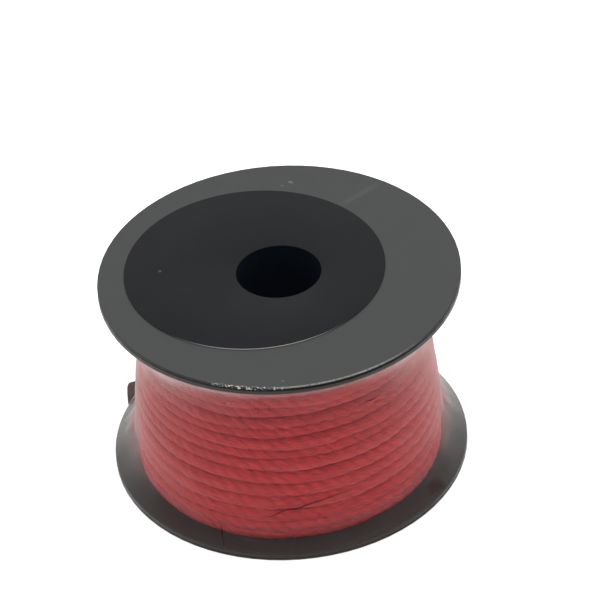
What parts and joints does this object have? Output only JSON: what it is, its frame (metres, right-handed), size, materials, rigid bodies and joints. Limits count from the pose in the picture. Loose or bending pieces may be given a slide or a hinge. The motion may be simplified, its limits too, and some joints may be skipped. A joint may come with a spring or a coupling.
{
  "type": "cord reel",
  "caption": "Two-flange plastic reel of red twisted cord, with a round label and a clear film wrap from rim to rim.",
  "frame": {"origin": "centre of the bottom flange's outer face, where the reel stands", "axes": "+Z along the reel's axis, from the bottom flange to the labelled top flange; the label's centre lies towards -X"},
  "size_m": [0.085, 0.085, 0.0525],
  "materials": {
    "reel_plastic": "black moulded plastic, satin, scuffed along the rim",
    "label_paper": "matte black printed paper",
    "cord_fibre": "red twisted fibre, soft and slightly fuzzy",
    "clear_film": "thin clear stretched film, slightly milky",
    "brown_tape": "brown packing tape"
  },
  "bodies": {
    "root": {"bottom_flange": "reel_plastic", "top_flange": "reel_plastic", "barrel": "reel_plastic", "label": "label_paper", "cord_winding": "cord_fibre", "cord_start": "cord_fibre", "film_wrap": "clear_film", "film_tape": "brown_tape"}
  },
  "joints": []
}
